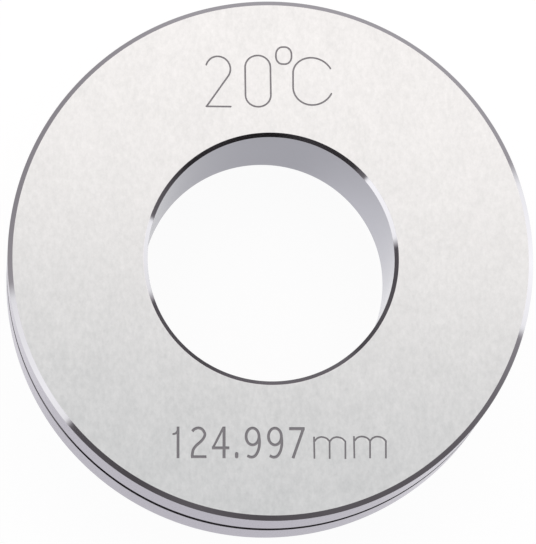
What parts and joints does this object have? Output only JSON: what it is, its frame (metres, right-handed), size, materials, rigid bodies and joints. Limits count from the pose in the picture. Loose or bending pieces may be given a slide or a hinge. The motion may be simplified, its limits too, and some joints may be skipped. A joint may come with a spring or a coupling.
{
  "type": "setting ring gauge",
  "caption": "Thick steel ring with a finely finished calibrated bore, bevelled edges and a handling groove round its outside, for setting internal measuring gauges.",
  "frame": {"origin": "centre of the lower face, on the axis of the bore", "axes": "+Z up along the axis of the bore, towards the marked face; the words on that face read upright seen from above with +Y up"},
  "size_m": [0.266, 0.266, 0.08],
  "materials": {
    "gauge_steel": "fine lapped faces and ground outside, with polished chamfers"
  },
  "bodies": {
    "root": {"gauge_ring": "gauge_steel"}
  },
  "joints": []
}
